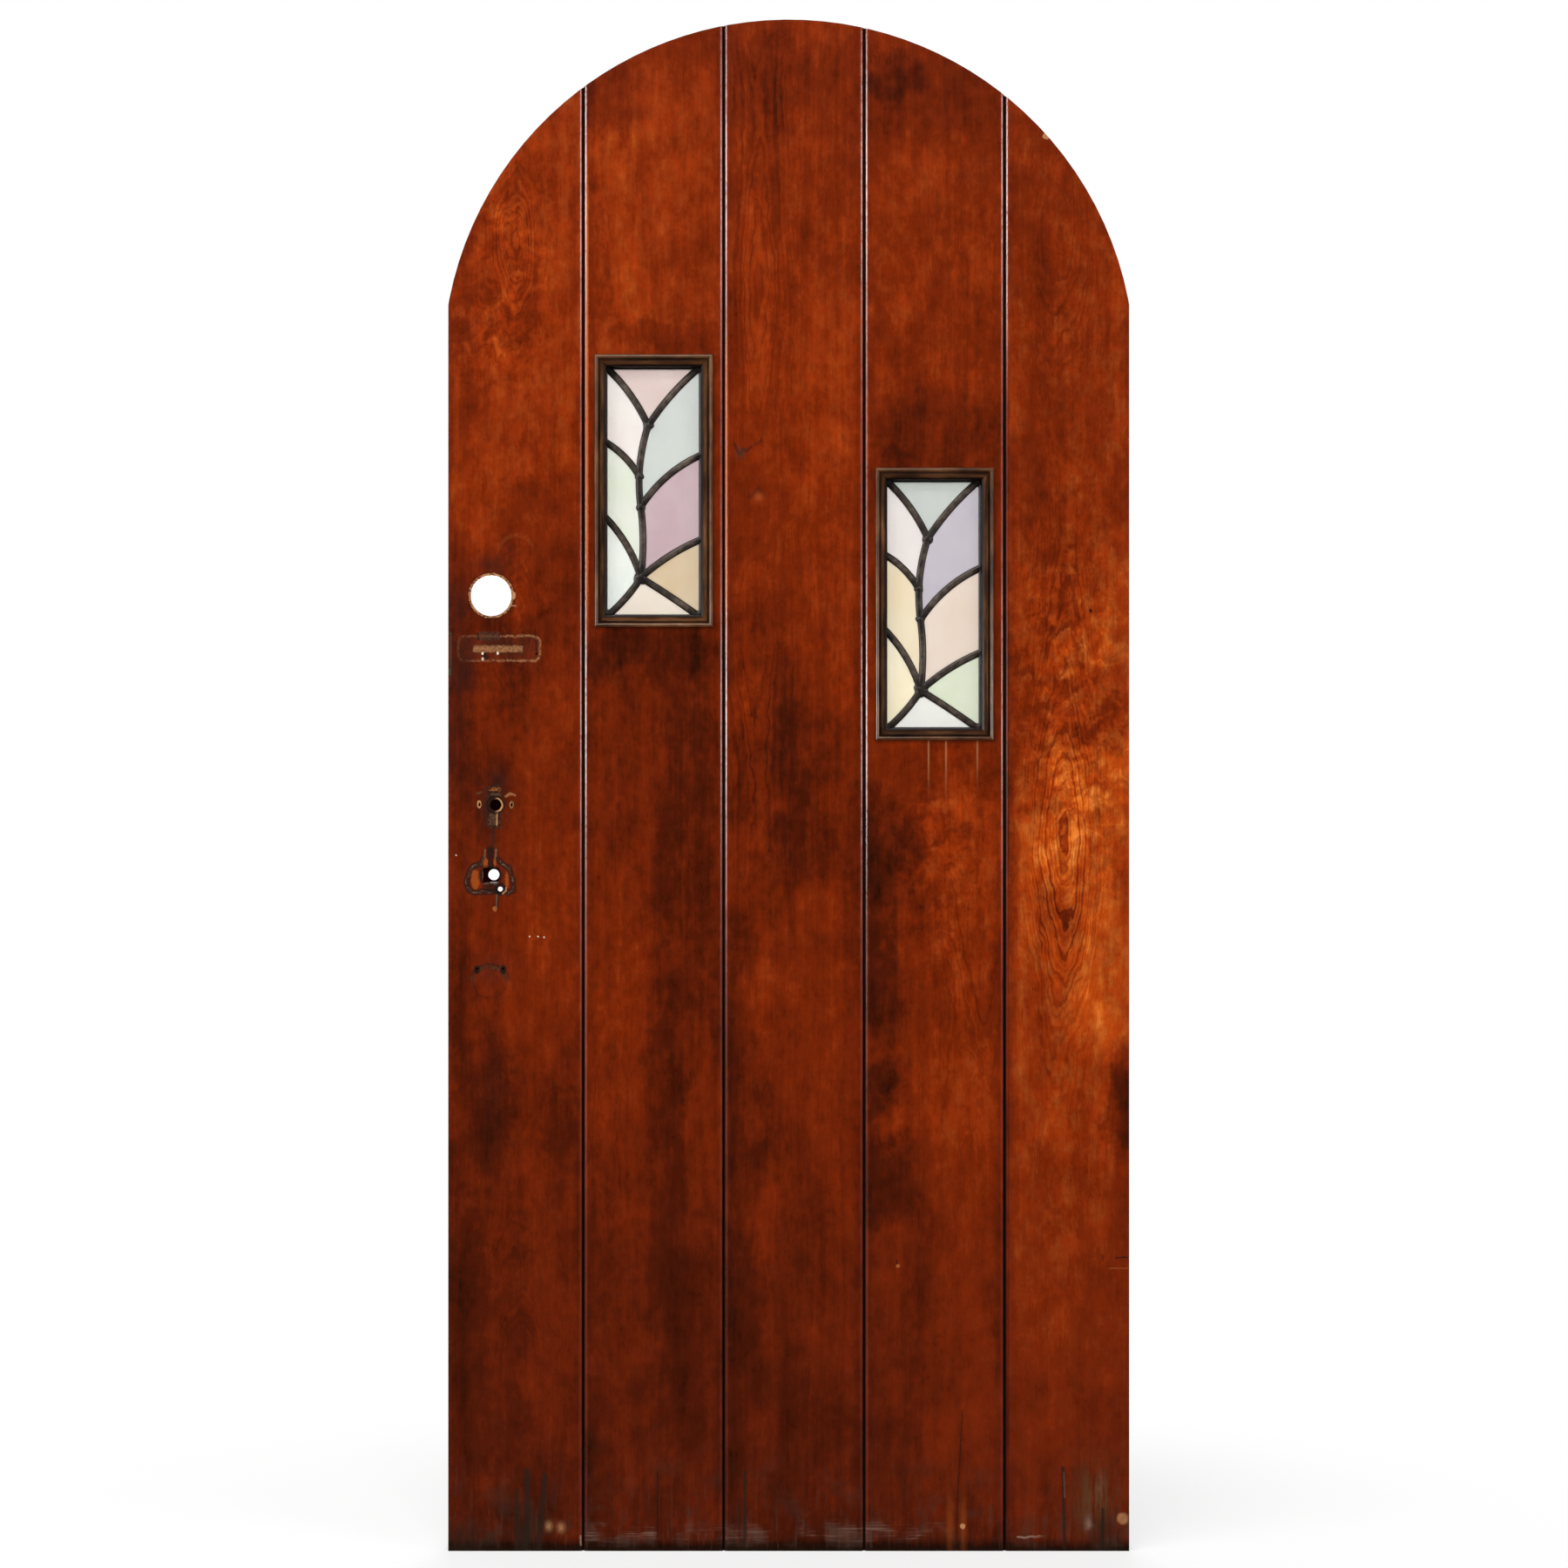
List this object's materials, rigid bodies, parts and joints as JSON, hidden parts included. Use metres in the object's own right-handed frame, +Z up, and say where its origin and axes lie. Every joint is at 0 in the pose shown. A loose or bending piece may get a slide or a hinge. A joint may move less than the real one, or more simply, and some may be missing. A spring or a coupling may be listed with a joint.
{
  "type": "arched plank door leaf",
  "caption": "Arched entrance door leaf of upright V-jointed planks in red-brown stain, with staggered leaded lights and empty lock holes.",
  "frame": {"origin": "middle of the bottom edge, half way through the thickness", "axes": "+X towards the hinge edge, -Y out of the face that carries the lock marks, +Z up"},
  "size_m": [0.902, 0.0558, 2.028],
  "materials": {
    "plank_wood": "red-brown stain under worn varnish",
    "bead_wood": "dark brown stain under worn varnish",
    "lead": "dull dark lead with solder at the joints",
    "brad_steel": "dull steel",
    "upper_crown_glass": "milky opalescent glass",
    "upper_high_left_glass": "milky opalescent glass",
    "upper_high_right_glass": "milky opalescent glass",
    "upper_mid_left_glass": "milky opalescent glass",
    "upper_mid_right_glass": "milky opalescent glass",
    "upper_low_left_glass": "milky opalescent glass",
    "upper_low_right_glass": "milky opalescent glass",
    "upper_foot_glass": "milky opalescent glass",
    "lower_crown_glass": "milky opalescent glass",
    "lower_high_left_glass": "milky opalescent glass",
    "lower_high_right_glass": "milky opalescent glass",
    "lower_mid_left_glass": "milky opalescent glass",
    "lower_mid_right_glass": "milky opalescent glass",
    "lower_low_left_glass": "milky opalescent glass",
    "lower_low_right_glass": "milky opalescent glass",
    "lower_foot_glass": "milky opalescent glass"
  },
  "bodies": {
    "root": {"lock_plank": "plank_wood", "upper_light_plank": "plank_wood", "middle_plank": "plank_wood", "lower_light_plank": "plank_wood", "hinge_plank": "plank_wood", "upper_front_bead_top": "bead_wood", "upper_front_bead_bottom": "bead_wood", "upper_front_bead_left": "bead_wood", "upper_front_bead_right": "bead_wood", "upper_back_bead_top": "bead_wood", "upper_back_bead_bottom": "bead_wood", "upper_back_bead_left": "bead_wood", "upper_back_bead_right": "bead_wood", "lower_front_bead_top": "bead_wood", "lower_front_bead_bottom": "bead_wood", "lower_front_bead_left": "bead_wood", "lower_front_bead_right": "bead_wood", "lower_back_bead_top": "bead_wood", "lower_back_bead_bottom": "bead_wood", "lower_back_bead_left": "bead_wood", "lower_back_bead_right": "bead_wood", "upper_lead_came": "lead", "lower_lead_came": "lead", "upper_pane_crown": "upper_crown_glass", "upper_pane_high_left": "upper_high_left_glass", "upper_pane_high_right": "upper_high_right_glass", "upper_pane_mid_left": "upper_mid_left_glass", "upper_pane_mid_right": "upper_mid_right_glass", "upper_pane_low_left": "upper_low_left_glass", "upper_pane_low_right": "upper_low_right_glass", "upper_pane_foot": "upper_foot_glass", "lower_pane_crown": "lower_crown_glass", "lower_pane_high_left": "lower_high_left_glass", "lower_pane_high_right": "lower_high_right_glass", "lower_pane_mid_left": "lower_mid_left_glass", "lower_pane_mid_right": "lower_mid_right_glass", "lower_pane_low_left": "lower_low_left_glass", "lower_pane_low_right": "lower_low_right_glass", "lower_pane_foot": "lower_foot_glass", "bead_brads": "brad_steel"}
  },
  "joints": []
}
